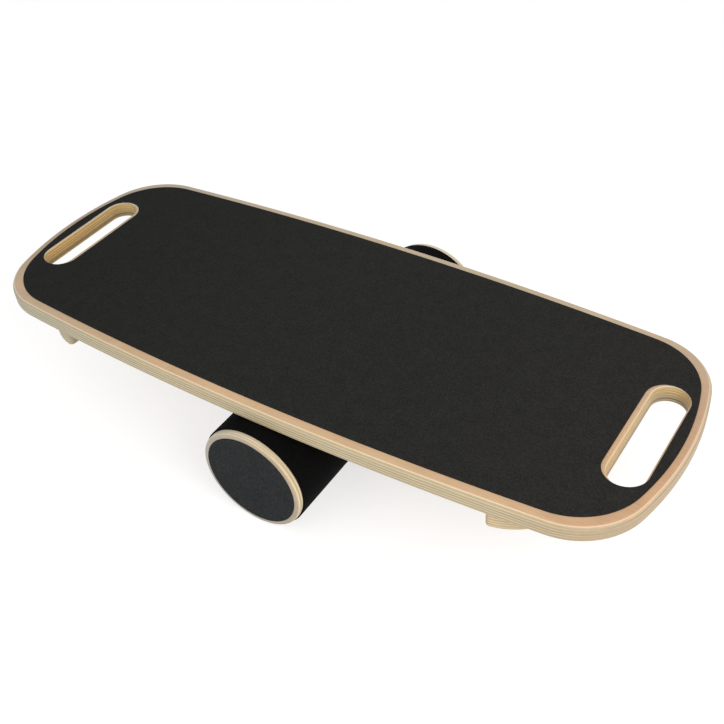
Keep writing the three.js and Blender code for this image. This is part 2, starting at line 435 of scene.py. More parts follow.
class Nodes:
    """A node tree with short calls that add a node, feed its inputs and give its outputs."""

    def __init__(self, tree: bpy.types.NodeTree) -> None:
        """Keeps the tree that the calls add to."""
        self.tree = tree

    def feed(self, sockets: Any, inputs: dict[Any, Any]) -> None:
        """Links outputs to sockets, or sets the sockets' own values.

        Args:
            sockets: A node's inputs.
            inputs: What feeds each of them, by name or number: an output, a number, a vector or a
                colour.
        """
        for key, value in inputs.items():
            if isinstance(value, Output):
                self.tree.links.new(value.socket, sockets[key])
            elif sockets[key].type == "RGBA":
                sockets[key].default_value = (*value, 1)
            else:
                sockets[key].default_value = value

    def add(self, kind: str, inputs: dict[Any, Any] | None = None, **settings: Any) -> dict[Any, Output]:
        """Adds a node.

        Args:
            kind: Blender's name of the node's type.
            inputs: What feeds each input, by its name or number.
            **settings: The node's own properties.

        Returns:
            The node's outputs, each by its number and its name.
        """
        node = self.tree.nodes.new(kind)
        for name, value in settings.items():
            setattr(node, name, value)
        self.feed(node.inputs, inputs or {})
        outputs = [Output(self, socket) for socket in node.outputs]
        return dict(enumerate(outputs)) | {output.socket.name: output for output in outputs}

    def math(self, operation: str, *values: Any) -> Output:
        """The result of a Math node on the given values."""
        return self.add("ShaderNodeMath", dict(enumerate(values)), operation=operation)[0]

    def mix(self, factor: Any, first: Any, second: Any, blend: str = "MIX") -> Output:
        """The colour that a Mix node makes of two colours."""
        inputs = {0: factor, 6: first, 7: second}
        return self.add("ShaderNodeMix", inputs, data_type="RGBA", blend_type=blend)[2]

    def tinted(self, colour: Any, tint: Any) -> Output:
        """A colour times a tint."""
        return self.mix(1.0, colour, tint, "MULTIPLY")

    def smooth(self, value: Any, none: float, full: float) -> Output:
        """A smooth step of a value, from 0 where it is none to 1 where it is full."""
        inputs = {"Value": value, "From Min": none, "From Max": full}
        return self.add("ShaderNodeMapRange", inputs, interpolation_type="SMOOTHSTEP")[0]

    def fit(self, value: Any, low: float, high: float) -> Output:
        """A value from 0 to 1 spread over the range from low to high."""
        return self.add("ShaderNodeMapRange", {"Value": value, "To Min": low, "To Max": high})[0]

    def noise(self, vector: Any, scale: Any, detail: float, roughness: float = 0.5) -> Output:
        """A noise texture's value."""
        inputs = {"Vector": vector, "Scale": scale, "Detail": detail, "Roughness": roughness}
        return self.add("ShaderNodeTexNoise", inputs)[0]

    def parts(self, vector: Any) -> tuple[Output, Output, Output]:
        """A vector's X, Y and Z."""
        outputs = self.add("ShaderNodeSeparateXYZ", {0: vector})
        return outputs[0], outputs[1], outputs[2]

    def bump(self, height: Any, relief: float, strength: float) -> Output:
        """The normal of a surface with a height, over a relief in metres."""
        return self.add("ShaderNodeBump", {"Height": height, "Distance": relief, "Strength": strength})[0]

    def seen(self) -> Output:
        """Tells the rays that see a surface from those that light the object.

        Returns:
            1 on rays from the camera, a reflection or glass, and 0 on the others.
        """
        rays = self.add("ShaderNodeLightPath")
        indirect = self.math("MAXIMUM", rays["Is Glossy Ray"], rays["Is Transmission Ray"])
        return self.math("MAXIMUM", rays["Is Camera Ray"], indirect)


FLOAT, VECTOR, COLOUR = "NodeSocketFloat", "NodeSocketVector", "NodeSocketColor"


def new_group(
    name: str, inputs: dict[str, str], outputs: dict[str, str]
) -> tuple[Nodes, dict[Any, Output], Any]:
    """Starts a shader node group.

    Args:
        name: The group's name.
        inputs: The socket type of each named input.
        outputs: The socket type of each named output.

    Returns:
        The group's nodes, what it is given, by name, and the sockets for its results.
    """
    tree = bpy.data.node_groups.new(name, "ShaderNodeTree")
    for direction, sockets in (("INPUT", inputs), ("OUTPUT", outputs)):
        for socket, kind in sockets.items():
            tree.interface.new_socket(name=socket, in_out=direction, socket_type=kind)
    nodes = Nodes(tree)
    return nodes, nodes.add("NodeGroupInput"), tree.nodes.new("NodeGroupOutput").inputs


@dataclass(frozen=True)
class PlyStack:
    """How plywood's plies show on any cut of it.

    A smooth step is given as where it is none and where it is full: a glue line's as shares of a
    ply from the joint, and a veneer's and its pale line's in millimetres past the veneer.
    """

    ply_shade: Span = (0.94, 1.06)
    glue_line: Span = (0.1, 0.02)
    glue_strength: float = 0.6
    streak_share: float = 0.6
    pore_shade: float = 0.8
    veneer_end: Span = (-0.02, 0.06)
    # The pale line at the veneer's edge is partly the veneer's pale edge and partly a painted highlight
    rim_line_start: Span = (-0.34, -0.16)
    rim_line_end: Span = (0.3, 0.1)
    streak_relief: float = 0.35
    pore_relief: float = 0.3
    glue_relief: float = 0.4

    @cache
    def group(self) -> bpy.types.NodeTree:
        """Builds the node group, once for all the materials that use it.

        The depth less the veneer, over a ply's thickness, gives the ply's number and the place
        within it. Odd and even plies have crossed grain, so each is dark where its own grain meets
        the surface end on. A glue line parts them, and a pale line edges the thin face veneers: partly
        the veneer's pale edge and partly a painted highlight on the rounded edges.

        Returns:
            The group.
        """
        numbers = (
            "Depth", "Thickness", "Veneer", "Ply", "Long End", "Cross End", "Long Streaks",
            "Cross Streaks", "Patches", "Pores",
        )
        colours = ("Face", "Face Deep", "Pale", "Dark", "Glue", "Rim Line")
        inputs = dict.fromkeys(numbers, FLOAT) | dict.fromkeys(colours, COLOUR)
        nodes, given, out = new_group("ply_stack", inputs, {"Color": COLOUR, "Height": FLOAT})

        place = (given["Depth"] - given["Veneer"]) / given["Ply"]
        number = nodes.math("FLOOR", place)
        odd = nodes.math("FLOORED_MODULO", number, 2.0)
        even = 1.0 - odd
        ends = odd * given["Long End"] + even * given["Cross End"]
        streaks = odd * given["Long Streaks"] + even * given["Cross Streaks"]
        chance = nodes.add("ShaderNodeTexWhiteNoise", {"W": number}, noise_dimensions="1D")[0]
        shade = nodes.fit(chance, *self.ply_shade) * nodes.fit(streaks, *self.ply_shade)
        wood = nodes.tinted(nodes.mix(ends, given["Pale"], given["Dark"]), shade)
        from_joint = 0.5 - abs(place - number - 0.5)
        glue = nodes.smooth(from_joint, *self.glue_line)
        wood = nodes.mix(glue * self.glue_strength, wood, given["Glue"])

        nearest = nodes.math("MINIMUM", given["Depth"], given["Thickness"] - given["Depth"])
        past_veneer = nearest - given["Veneer"]
        tone = given["Long Streaks"] * self.streak_share + given["Patches"] * (1 - self.streak_share)
        face = nodes.mix(tone, given["Face Deep"], given["Face"])
        face = nodes.tinted(face, nodes.fit(given["Pores"], 1.0, self.pore_shade))
        colour = nodes.mix(nodes.smooth(past_veneer, *self.veneer_end), face, wood)
        # Pale line at the veneer's edge, partly a painted highlight
        rim = nodes.smooth(past_veneer, *self.rim_line_start) * nodes.smooth(past_veneer, *self.rim_line_end)
        fibres = streaks * self.streak_relief - given["Pores"] * self.pore_relief
        nodes.feed(out, {
            "Color": nodes.mix(rim, colour, given["Rim Line"]),
            "Height": fibres - glue * self.glue_relief,
        })
        return nodes.tree


@dataclass(frozen=True)
class WoodGrain:
    """How wood fibres, broad patches and pores look. A range is where each is none and full."""

    fine_detail: float = 5.0
    fine_roughness: float = 0.65
    fine_share: float = 0.7
    broad_scale: float = 0.16
    pore_scale: float = 5.0
    soft_detail: float = 2.0
    streaks: Span = (0.36, 0.64)
    patches: Span = (0.38, 0.62)
    pores: Span = (0.58, 0.72)

    @cache
    def group(self) -> bpy.types.NodeTree:
        """Builds the node group, once for all the materials that use it.

        Fibres are noise on a place scaled little along the grain and much across it. Pores are the
        peaks of a finer noise of the same kind, as short dark dashes.

        Returns:
            The group.
        """
        nodes, given, out = new_group(
            "wood_grain",
            {"Vector": VECTOR, "Fibre": VECTOR, "Patch Scale": FLOAT},
            {"Streaks": FLOAT, "Patches": FLOAT, "Pores": FLOAT},
        )
        factors = {0: given["Vector"], 1: given["Fibre"]}
        stretched = nodes.add("ShaderNodeVectorMath", factors, operation="MULTIPLY")[0]
        fine = nodes.noise(stretched, 1.0, self.fine_detail, self.fine_roughness)
        broad = nodes.noise(stretched, self.broad_scale, self.soft_detail)
        streaks = fine * self.fine_share + broad * (1 - self.fine_share)
        patches = nodes.noise(given["Vector"], given["Patch Scale"], self.soft_detail)
        pores = nodes.noise(stretched, self.pore_scale, self.soft_detail)
        nodes.feed(out, {
            "Streaks": nodes.smooth(streaks, *self.streaks),
            "Patches": nodes.smooth(patches, *self.patches),
            "Pores": nodes.smooth(pores, *self.pores),
        })
        return nodes.tree


@dataclass(frozen=True)
class GritGrains:
    """How anti-slip grit looks: grains with flecks of their own shade, under broad clouds."""

    grain_share: float = 0.6
    cloud_scale: float = 60.0
    cloud_detail: float = 3.0
    cloud_roughness: float = 0.6

    @cache
    def group(self) -> bpy.types.NodeTree:
        """Builds the node group, once for all the materials that use it.

        Each cell of a Voronoi pattern is one bump, as high as it is far from its border, and one fleck.

        Returns:
            The group.
        """
        nodes, given, out = new_group(
            "grit", {"Vector": VECTOR, "Grains": FLOAT}, {"Flecks": FLOAT, "Height": FLOAT})
        inputs = {"Vector": given["Vector"], "Scale": given["Grains"]}
        grains = nodes.add("ShaderNodeTexVoronoi", inputs)
        red = nodes.add("ShaderNodeSeparateColor", {0: grains["Color"]})[0]
        clouds = nodes.noise(given["Vector"], self.cloud_scale, self.cloud_detail, self.cloud_roughness)
        nodes.feed(out, {
            "Flecks": red * self.grain_share + clouds * (1 - self.grain_share),
            "Height": 1.0 - grains["Distance"],
        })
        return nodes.tree


def new_material(name: str) -> tuple[bpy.types.Material, Nodes, Any]:
    """Starts a material.

    Args:
        name: The material's name.

    Returns:
        The material, its nodes and the inputs of its Principled shader.
    """
    material = bpy.data.materials.new(name)
    material.use_nodes = True
    return material, Nodes(material.node_tree), material.node_tree.nodes["Principled BSDF"].inputs


@dataclass(frozen=True)
class Tint:
    """A slow change of colour along an axis, from none at its start to the full tint at its stop.

    Most tints here are painted light and shade, and a few are slow changes of the wood's tone.
    """

    axis: Axis
    start: float
    stop: float
    colour: Colour


def shaded(nodes: Nodes, colour: Any, place: Sequence[Output], tints: Sequence[Tint]) -> Any:
    """Puts a colour under several tints.

    Args:
        nodes: The material's nodes.
        colour: The colour that is tinted.
        place: The X, Y and Z of the shaded point.
        tints: The tints.

    Returns:
        The tinted colour.
    """
    for tint in tints:
        share = nodes.smooth(place[tint.axis.value], tint.start, tint.stop)
        colour = nodes.tinted(colour, nodes.mix(share, WHITE, tint.colour))
    return colour


@dataclass(frozen=True)
class SlotLightAndSeam:
    """Painted light and shade on the hand slots' walls: warm painted light at the top, painted shade
    downwards, and a dark seam.

    Depths are in millimetres below the deck's top, and the rest is in metres.
    """

    # upper is painted light at the top of a wall, and lower is painted shade further down it
    upper: Colour = (1.4, 1.12, 0.7)
    lower: Colour = (0.96, 0.86, 0.67)
    seam: Colour = (0.47, 0.38, 0.31)
    upper_depth: float = 3.0
    lower_depth: float = 15.0
    seam_depth: float = 13.8
    seam_width: float = 1.3
    # Painted warm shade at the left slot, slightly dimmed painted light at the right one, and a paler painted
    # back light towards the far end
    tints: tuple[Tint, ...] = (
        Tint(Axis.X, 0.0, -300 * MM, (1.08, 0.93, 0.76)),
        Tint(Axis.X, 0.0, 300 * MM, (0.88, 0.92, 0.98)),
        Tint(Axis.Y, -60 * MM, 144.5 * MM, (0.88, 1.03, 1.2)),
    )
    from_middle: float = 332 * MM
    half_width: float = 17.2 * MM
    half_length: float = 75 * MM
    blend: float = 0.8 * MM

    def tint(self, nodes: Nodes, depth: Output, place: Sequence[Output]) -> Output:
        """The painted light and shade, with the seam, at a depth and a place, white outside the slots.

        Args:
            nodes: The material's nodes.
            depth: The depth below the deck's top.
            place: The X, Y and Z of the shaded point.

        Returns:
            The tint's colour.
        """
        wall = nodes.mix(nodes.smooth(depth, self.upper_depth, self.lower_depth), self.upper, self.lower)
        from_seam = abs(depth - self.seam_depth)
        wall = nodes.mix(nodes.smooth(from_seam, self.seam_width, 0.0), wall, self.seam)
        wall = shaded(nodes, wall, place, self.tints)
        from_slot = abs(abs(place[Axis.X.value]) - self.from_middle)
        aside = nodes.smooth(from_slot, self.half_width, self.half_width + self.blend)
        along = abs(place[Axis.Y.value])
        beyond = nodes.smooth(along, self.half_length, self.half_length + self.blend)
        return nodes.mix(nodes.math("MAXIMUM", aside, beyond), wall, WHITE)


@dataclass(frozen=True)
class Plywood:
    """Clear-lacquered plywood whose plies are stacked along one axis.

    Depths and plies are in millimetres, and first_face is the first face's place along the axis in
    metres. The sense is the way that depth runs. The veneer tints, painted light here, leave the plies
    as they are, and upright is how much of the normal lies along the stack where a wall starts and is
    complete.
    """

    name: str
    stack: Axis
    first_face: float
    sense: float
    thickness: float
    plies: int
    veneer: float = 0.6
    long_grain: Axis = Axis.X
    cross_grain: Axis = Axis.Y
    face: Colour = (0.69, 0.46, 0.265)
    face_deep: Colour = (0.58, 0.385, 0.225)
    pale: Colour = (0.64, 0.53, 0.335)
    dark: Colour = (0.42, 0.35, 0.225)
    glue: Colour = (0.3, 0.22, 0.12)
    # The pale line at the veneer's edge, partly a painted highlight on rounded edges
    rim_line: Colour = (0.84, 0.64, 0.42)
    tints: tuple[Tint, ...] = ()
    veneer_tints: tuple[Tint, ...] = ()
    pocket: SlotLightAndSeam | None = None
    upright: Span = (0.9, 0.2)
    roughness: float = 0.48
    roughness_change: float = 0.06
    specular: float = 0.3
    fibre_across: float = 420.0
    fibre_along: float = 14.0
    patch_scale: float = 26.0
    relief: float = 0.06 * MM
    relief_strength: float = 0.6

    @classmethod
    def filling(cls, name: str, node: str, stack: Axis, side: float, plies: int, **looks: Any) -> "Plywood":
        """Plywood that fills a node's box.

        Args:
            name: The material's name.
            node: The frame's node.
            stack: The axis that the plies are stacked along.
            side: 1 where depth is counted from the high face, and -1 where from the low one.
            plies: The number of plies, with both veneers.
            **looks: What differs from the deck's plywood.

        Returns:
            The finish.
        """
        low, high = (corner[stack.value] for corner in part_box(node))
        return cls(name, stack, high if side > 0 else low, -side, (high - low) / MM, plies, **looks)

    def grain(self, nodes: Nodes, place: Output, along: Axis) -> dict[Any, Output]:
        """Adds wood grain.

        Args:
            nodes: The material's nodes.
            place: The shaded point.
            along: The axis that the grain runs along.

        Returns:
            The outputs of the grain's group.
        """
        fibre = [self.fibre_across] * 3
        fibre[along.value] = self.fibre_along
        inputs = {"Vector": place, "Fibre": fibre, "Patch Scale": self.patch_scale}
        return nodes.add("ShaderNodeGroup", inputs, node_tree=WoodGrain().group())

    def material(self) -> bpy.types.Material:
        """Builds the material, in Object coordinates.

        Returns:
            The material.
        """
        material, nodes, shader = new_material(self.name)
        where = nodes.add("ShaderNodeTexCoord")
        place, normal = nodes.parts(where["Object"]), nodes.parts(where["Normal"])
        depth = (place[self.stack.value] - self.first_face) * (self.sense / MM)
        long_way = self.grain(nodes, where["Object"], self.long_grain)
        cross_way = self.grain(nodes, where["Object"], self.cross_grain)
        inputs = {
            "Depth": depth, "Thickness": self.thickness, "Veneer": self.veneer,
            "Ply": (self.thickness - 2 * self.veneer) / (self.plies - 2),
            "Long End": abs(normal[self.long_grain.value]),
            "Cross End": abs(normal[self.cross_grain.value]),
            "Long Streaks": long_way["Streaks"], "Cross Streaks": cross_way["Streaks"],
            "Patches": long_way["Patches"], "Pores": long_way["Pores"],
            "Pale": self.pale, "Dark": self.dark, "Glue": self.glue,
        }
        # The veneer tints, painted light here, reach only the face veneers
        veneers = {"Face": self.face, "Face Deep": self.face_deep, "Rim Line": self.rim_line}
        for name, colour in veneers.items():
            inputs[name] = shaded(nodes, colour, place, self.veneer_tints)
        stack = nodes.add("ShaderNodeGroup", inputs, node_tree=PlyStack().group())
        # The tints paint light and shade, and on the deck also a slow change of the wood's tone
        colour = shaded(nodes, stack["Color"], place, self.tints)
        # Painted light and shade on the upright walls of the slots, with their dark seam
        if self.pocket:
            upright = nodes.smooth(abs(normal[self.stack.value]), *self.upright)
            wall = nodes.tinted(colour, self.pocket.tint(nodes, depth, place))
            colour = nodes.mix(upright, colour, wall)
        change = self.roughness_change
        nodes.feed(shader, {
            "Base Color": colour,
            "Roughness": nodes.fit(long_way["Streaks"], self.roughness - change, self.roughness + change),
            "Specular IOR Level": self.specular,
            "Normal": nodes.bump(stack["Height"], self.relief, self.relief_strength),
        })
        return material


@dataclass(frozen=True)
class Grit:
    """A matt black anti-slip finish: fine grains with flecks of lighter and darker shade."""

    name: str
    dark: Colour
    light: Colour
    grains_per_metre: float
    specular: float
    tints: tuple[Tint, ...] = ()
    roughness: float = 0.85
    roughness_change: float = 0.05
    relief: float = 0.12 * MM
    relief_strength: float = 0.5

    def material(self) -> bpy.types.Material:
        """Builds the material, in Object coordinates.

        Returns:
            The material.
        """
        material, nodes, shader = new_material(self.name)
        where = nodes.add("ShaderNodeTexCoord")["Object"]
        inputs = {"Vector": where, "Grains": self.grains_per_metre}
        grit = nodes.add("ShaderNodeGroup", inputs, node_tree=GritGrains().group())
        colour = nodes.mix(grit["Flecks"], self.dark, self.light)
        change = self.roughness_change
        nodes.feed(shader, {
            "Base Color": shaded(nodes, colour, nodes.parts(where), self.tints),
            "Roughness": nodes.fit(grit["Flecks"], self.roughness + change, self.roughness - change),
            "Specular IOR Level": self.specular,
            "Normal": nodes.bump(grit["Height"], self.relief, self.relief_strength),
        })
        return material


@dataclass(frozen=True)
class ZincPlate:
    """Zinc-plated steel with fine turning marks and dull patches."""

    name: str = "zinc_plated_steel"
    bright: Colour = (0.66, 0.65, 0.6)
    dull: Colour = (0.48, 0.47, 0.43)
    patch_scale: float = 900.0
    patch_detail: float = 3.0
    patches: Span = (0.35, 0.7)
    roughness: Span = (0.28, 0.45)
    mark_scale: float = 4000.0
    mark_detail: float = 2.0
    relief: float = 0.03 * MM
    relief_strength: float = 0.4

    def material(self) -> bpy.types.Material:
        """Builds the material, in Object coordinates.

        Returns:
            The material.
        """
        material, nodes, shader = new_material(self.name)
        where = nodes.add("ShaderNodeTexCoord")["Object"]
        patches = nodes.smooth(nodes.noise(where, self.patch_scale, self.patch_detail), *self.patches)
        marks = nodes.noise(where, self.mark_scale, self.mark_detail)
        nodes.feed(shader, {
            "Base Color": nodes.mix(patches, self.bright, self.dull),
            "Roughness": nodes.fit(patches, *self.roughness),
            "Metallic": 1.0,
            "Normal": nodes.bump(marks, self.relief, self.relief_strength),
        })
        return material


@dataclass(frozen=True)
class TubeBoard:
    """The raw wall of the roller's inner tube: wound paper board, with its winding's joints.

    The lead is in metres, and joint_width is a share of it.
    """

    name: str = "tube_board"
    colour: Colour = (0.3, 0.23, 0.15)
    joint: Colour = (0.16, 0.12, 0.08)
    lead: float = 110 * MM
    joint_width: float = 0.02
    fibre_scale: float = 700.0
    fibre_detail: float = 4.0
    fibre_roughness: float = 0.6
    fibre_strength: float = 0.5
    roughness: Span = (0.75, 0.95)

    def material(self) -> bpy.types.Material:
        """Builds the material: the place along Y over the lead has a joint at each whole number.

        Returns:
            The material, in Object coordinates.
        """
        material, nodes, shader = new_material(self.name)
        where = nodes.add("ShaderNodeTexCoord")["Object"]
        winding = nodes.math("FRACT", nodes.parts(where)[Axis.Y.value] * (1 / self.lead))
        fibres = nodes.noise(where, self.fibre_scale, self.fibre_detail, self.fibre_roughness)
        base = nodes.mix(fibres * self.fibre_strength, self.colour, self.joint)
        nodes.feed(shader, {
            "Base Color": nodes.mix(nodes.smooth(winding, self.joint_width, 0.0), base, self.joint),
            "Roughness": nodes.fit(fibres, *self.roughness),
        })
        return material


def dress(name: str, surface: Surface, material: bpy.types.Material, node: str, body: str) -> None:
    """Adds one piece that stands for a node of the frame.

    Args:
        name: The piece's name.
        surface: Its surface, in the row frame.
        material: Its finish.
        node: The frame's node that it replaces.
        body: The body that it moves with.
    """
    piece = mesh_piece(name, surface)
    piece.data.materials.append(material)
    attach(piece, body)
    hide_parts(node)
    log.info("%s: %d triangles", name, len(surface.triangles))


@dataclass(frozen=True)
class Slot:
    """A hand slot's size and where its middle is, counted from the deck's end."""

    length: float
    width: float
    to_end: float


@dataclass(frozen=True)
class Board:
    """The board: a plywood deck with two hand slots, and the anti-slip sheet on its top.

    The deck's length, width and place come from the frame, and the other sizes are metres here.
    The sheet and the slots sit a little behind the deck's middle, by the set_back.
    """

    side_radius: float = 3715 * MM
    end_radius: float = 321 * MM
    corner_radius: float = 71.5 * MM
    edge_radius: float = 4.5 * MM
    slot: Slot = Slot(length=133.6 * MM, width=33.8 * MM, to_end=38 * MM)
    slot_upper_radius: float = 3 * MM
    slot_lower_radius: float = 0.8 * MM
    cut_out: Slot = Slot(length=136.6 * MM, width=41.4 * MM, to_end=39.8 * MM)
    set_back: float = 0.6 * MM
    sheet_side_radius: float = 3757 * MM
    sheet_end_radius: float = 282 * MM
    sheet_corner_radius: float = 69 * MM
    sheet_edge_radius: float = 0.25 * MM
    edge_steps: int = 10
    plies: int = 13
    # Painted shade: darker and cooler towards the left end, and darker still at its last corner; a warmer,
    # deeper wood tone at the right end
    deck_tone_and_shade: tuple[Tint, ...] = (
        Tint(Axis.X, -60 * MM, -370 * MM, (0.85, 0.93, 1.05)),
        Tint(Axis.X, -335 * MM, -370 * MM, (0.78, 0.79, 0.79)),
        Tint(Axis.X, 230 * MM, 370 * MM, (0.91, 0.83, 0.82)),
    )
    # Painted back light: the face veneers turn paler and cooler towards the back edge
    veneer_tints: tuple[Tint, ...] = (Tint(Axis.Y, -60 * MM, 133.8 * MM, (0.88, 1.03, 1.2)),)
    sheet_black: Grit = Grit(
        "grip_sheet_black", dark=(0.0065, 0.0065, 0.0058), light=(0.026, 0.026, 0.0236),
        grains_per_metre=1100.0, specular=0.12,
        # Painted shade towards the left end and a painted sheen towards the right end
        tints=(
            Tint(Axis.X, 0.0, -361.4 * MM, (0.7, 0.73, 0.73)),
            Tint(Axis.X, 0.0, 361.4 * MM, (1.16, 1.12, 1.1)),
        ),
    )

    def plate(self, node: str, set_back: float, radii: Sequence[float], slot: Slot,
              edge: np.ndarray, bore: np.ndarray) -> Surface:
        """A slotted plate that fills a node's box.

        Args:
            node: The frame's node.
            set_back: How far the plate is behind the middle of that box.
            radii: The radii of its outline's sides, ends and corners.
            slot: Its right slot, which the left one mirrors.
            edge: The section of its outer edge.
            bore: The section of its slots' edges.

        Returns:
            The plate's surface.
        """
        low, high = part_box(node)
        outline = Barrel(high.x - low.x, high.y - low.y, *radii).loop()
        half = len(outline) // 2
        deck_low, deck_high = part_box("deck")
        slot_x = (deck_high.x - deck_low.x) / 2 - slot.to_end
        slot_y = self.set_back - set_back
        radius = slot.width / 2
        reach = slot.length / 2 - radius
        cells = (
            Cell(Hole((slot_x, slot_y), radius, reach), ((0, half),)),
            Cell(Hole((-slot_x, slot_y), radius, reach), ((half, 2 * half),)),
        )
        surface = Plate(outline, cells, edge, bore).surface()
        return surface.moved((low.x + high.x) / 2, (low.y + high.y) / 2 + set_back, high.z)

    def deck(self) -> Surface:
        """The deck, with the edges of its outline and of its slots rounded above and below.

        Returns:
            The deck's surface, in its place.
        """
        low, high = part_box("deck")
        thickness = high.z - low.z
        edge = edge_profile(thickness, self.edge_radius, self.edge_radius, self.edge_steps)
        bore = edge_profile(thickness, self.slot_upper_radius, self.slot_lower_radius, self.edge_steps)
        radii = self.side_radius, self.end_radius, self.corner_radius
        return self.plate("deck", 0.0, radii, self.slot, edge, bore)

    def sheet(self) -> Surface:
        """The anti-slip sheet, with its upper edges eased.

        Returns:
            The sheet's surface, in its place.
        """
        low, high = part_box("grip_sheet")
        edge = edge_profile(high.z - low.z, self.sheet_edge_radius, 0.0, self.edge_steps)
        radii = self.sheet_side_radius, self.sheet_end_radius, self.sheet_corner_radius
        return self.plate("grip_sheet", self.set_back, radii, self.cut_out, edge, edge)

    def build(self) -> None:
        """Makes and dresses the deck and the sheet."""
        plywood = Plywood.filling(
            "deck_plywood", "deck", Axis.Z, side=1.0, plies=self.plies,
            tints=self.deck_tone_and_shade, veneer_tints=self.veneer_tints, pocket=SlotLightAndSeam(),
        ).material()
        dress("deck_board", self.deck(), plywood, "deck", "board")
        black = self.sheet_black.material()
        dress("anti_slip_sheet", self.sheet(), black, "grip_sheet", "board")


class Side(Enum):
    """The end of the deck that a stopper is under: its name and its turn about Z."""

    RIGHT = ("right", 0.0)
    LEFT = ("left", HALF_TURN)


@dataclass(frozen=True)
class Stopper:
    """A D-shaped plywood plate under the deck, held by three countersunk screws."""

    side: Side
    end_radius: float = 71 * MM
    corner_radius: float = 5 * MM
    eased_edge: float = 2 * MM
    screw_spacing: float = 92 * MM
    screw_from_inner_edge: float = 26 * MM
    pilot_radius: float = 2.3 * MM
    mouth_radius: float = 4.5 * MM
    mouth_depth: float = 0.9 * MM
    cone_depth: float = 3.1 * MM
    edge_steps: int = 8
    arc_steps: int = 44
    corner_steps: int = 16
    straight_steps: int = 36

    def outline(self, width: float, length: float) -> np.ndarray:
        """The D: an inner edge on X zero, two rounded corners, and large arcs into the outer edge.

        A corner's arc is tangent inside a large one, so their centres are as far apart as the large
        radius less the corner's.

        Args:
            width: From the inner edge to the outer one.
            length: Along the inner edge.

        Returns:
            Points anticlockwise from the outer edge at the front screw's cut.
        """
        radius, corner = self.end_radius, self.corner_radius
        corner_y = length / 2 - corner
        centre_x = width - radius
        centre_y = corner_y - math.sqrt((radius - corner) ** 2 - (corner - centre_x) ** 2)
        meeting = math.atan2(corner_y - centre_y, corner - centre_x)
        cut = self.screw_spacing / 2
        steps = self.straight_steps
        return np.concatenate([
            line((width, -cut), (width, cut), steps),
            line((width, cut), (width, centre_y), steps // 2),
            arc((centre_x, centre_y), radius, 0, meeting, self.arc_steps),
            arc((corner, corner_y), corner, meeting, HALF_TURN, self.corner_steps),
            line((0, corner_y), (0, cut), steps),
            line((0, cut), (0, -cut), steps),
            line((0, -cut), (0, -corner_y), steps),
            arc((corner, -corner_y), corner, -HALF_TURN, -meeting, self.corner_steps),
            arc((centre_x, -centre_y), radius, -meeting, 0, self.arc_steps),
            line((width, -centre_y), (width, -cut), steps // 2),
        ])

    def bore(self, thickness: float) -> np.ndarray:
        """The section of a screw's hole: a pilot hole that opens in a cone and a short mouth.

        Args:
            thickness: The plate's thickness.

        Returns:
            Rows of growth and height.
        """
        mouth = self.mouth_radius - self.pilot_radius
        return np.array([
            (0.0, 0.0),
            (0.0, self.cone_depth - thickness),
            (mouth, self.mouth_depth - thickness),
            (mouth, -thickness),
        ])

    def plate(self) -> Surface:
        """The plate with its three screw holes.

        Returns:
            The plate's surface, in its place.
        """
        label, turn = self.side.value
        low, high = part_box(f"{label}_stopper")
        width, length, thickness = high - low
        outline = self.outline(width, length)
        back = self.straight_steps
        inner_back = 2 * back + back // 2 + self.arc_steps + self.corner_steps
        inner_front = inner_back + back
        spans = {
            0.0: ((0, back), (inner_back, inner_front)),
            self.screw_spacing: ((back, inner_back),),
            -self.screw_spacing: ((inner_front, len(outline)),),
        }
        inner = self.screw_from_inner_edge
        cells = tuple(Cell(Hole((inner, y), self.pilot_radius), span) for y, span in spans.items())
        edge = edge_profile(thickness, 0.0, self.eased_edge, self.edge_steps)
        surface = Plate(outline, cells, edge, self.bore(thickness)).surface().spun(turn)
        inner_x = low.x if self.side is Side.RIGHT else high.x
        return surface.moved(inner_x, (low.y + high.y) / 2, high.z)

    @staticmethod
    def plywood() -> bpy.types.Material:
        """The sanded plywood of both plates.

        Returns:
            The material.
        """
        return Plywood.filling(
            "stopper_plywood", "right_stopper", Axis.Z, side=1.0, plies=13, roughness=0.6,
            face=(0.62, 0.46, 0.28), face_deep=(0.54, 0.39, 0.235),
            pale=(0.75, 0.6, 0.37), dark=(0.49, 0.38, 0.225),
            # Painted shade: darker and cooler towards the left stopper
            tints=(Tint(Axis.X, 0.0, -304.1 * MM, (0.86, 0.95, 1.08)),),
        ).material()

    def build(self, plywood: bpy.types.Material, zinc: bpy.types.Material) -> None:
        """Makes and dresses the plate and its screws.

        Args:
            plywood: The plate's material.
            zinc: The screws' material.
        """
        label = self.side.value[0]
        name = f"{label}_stopper"
        dress(f"{name}_plate", self.plate(), plywood, name, "board")
        for place in ("front", "middle", "back"):
            node = f"{name}_screw_{place}"
            dress(f"{label}_screw_{place}", Screw().surface(node), zinc, node, "board")


